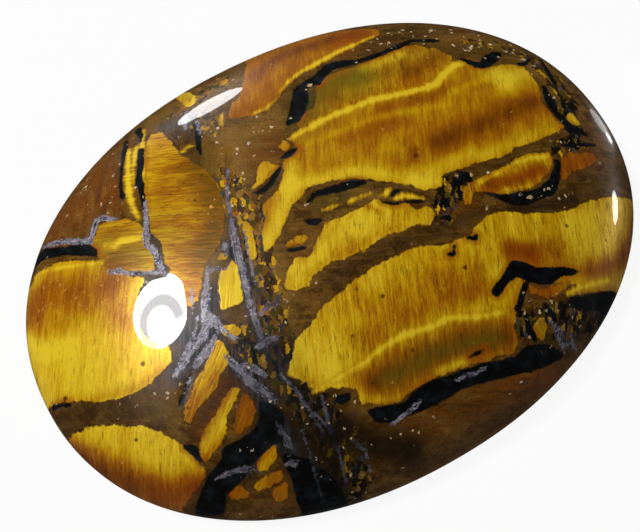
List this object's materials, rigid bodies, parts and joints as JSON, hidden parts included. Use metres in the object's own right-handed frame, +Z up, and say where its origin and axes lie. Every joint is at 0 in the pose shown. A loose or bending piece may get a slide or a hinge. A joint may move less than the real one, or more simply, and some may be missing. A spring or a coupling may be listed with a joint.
{
  "type": "tigers eye cabochon",
  "caption": "Oval polished tiger's eye cabochon: golden seams in dark ironstone, a low dome and a flat back to rest on or set.",
  "frame": {"origin": "middle of the flat back, on the surface that the stone rests on", "axes": "+X along the stone's length, +Y across its width, +Z up through the top of the dome"},
  "size_m": [0.04, 0.0296, 0.007],
  "materials": {
    "polished_tigers_eye": "polished"
  },
  "bodies": {
    "root": {"tigers_eye_cabochon": "polished_tigers_eye"}
  },
  "joints": []
}
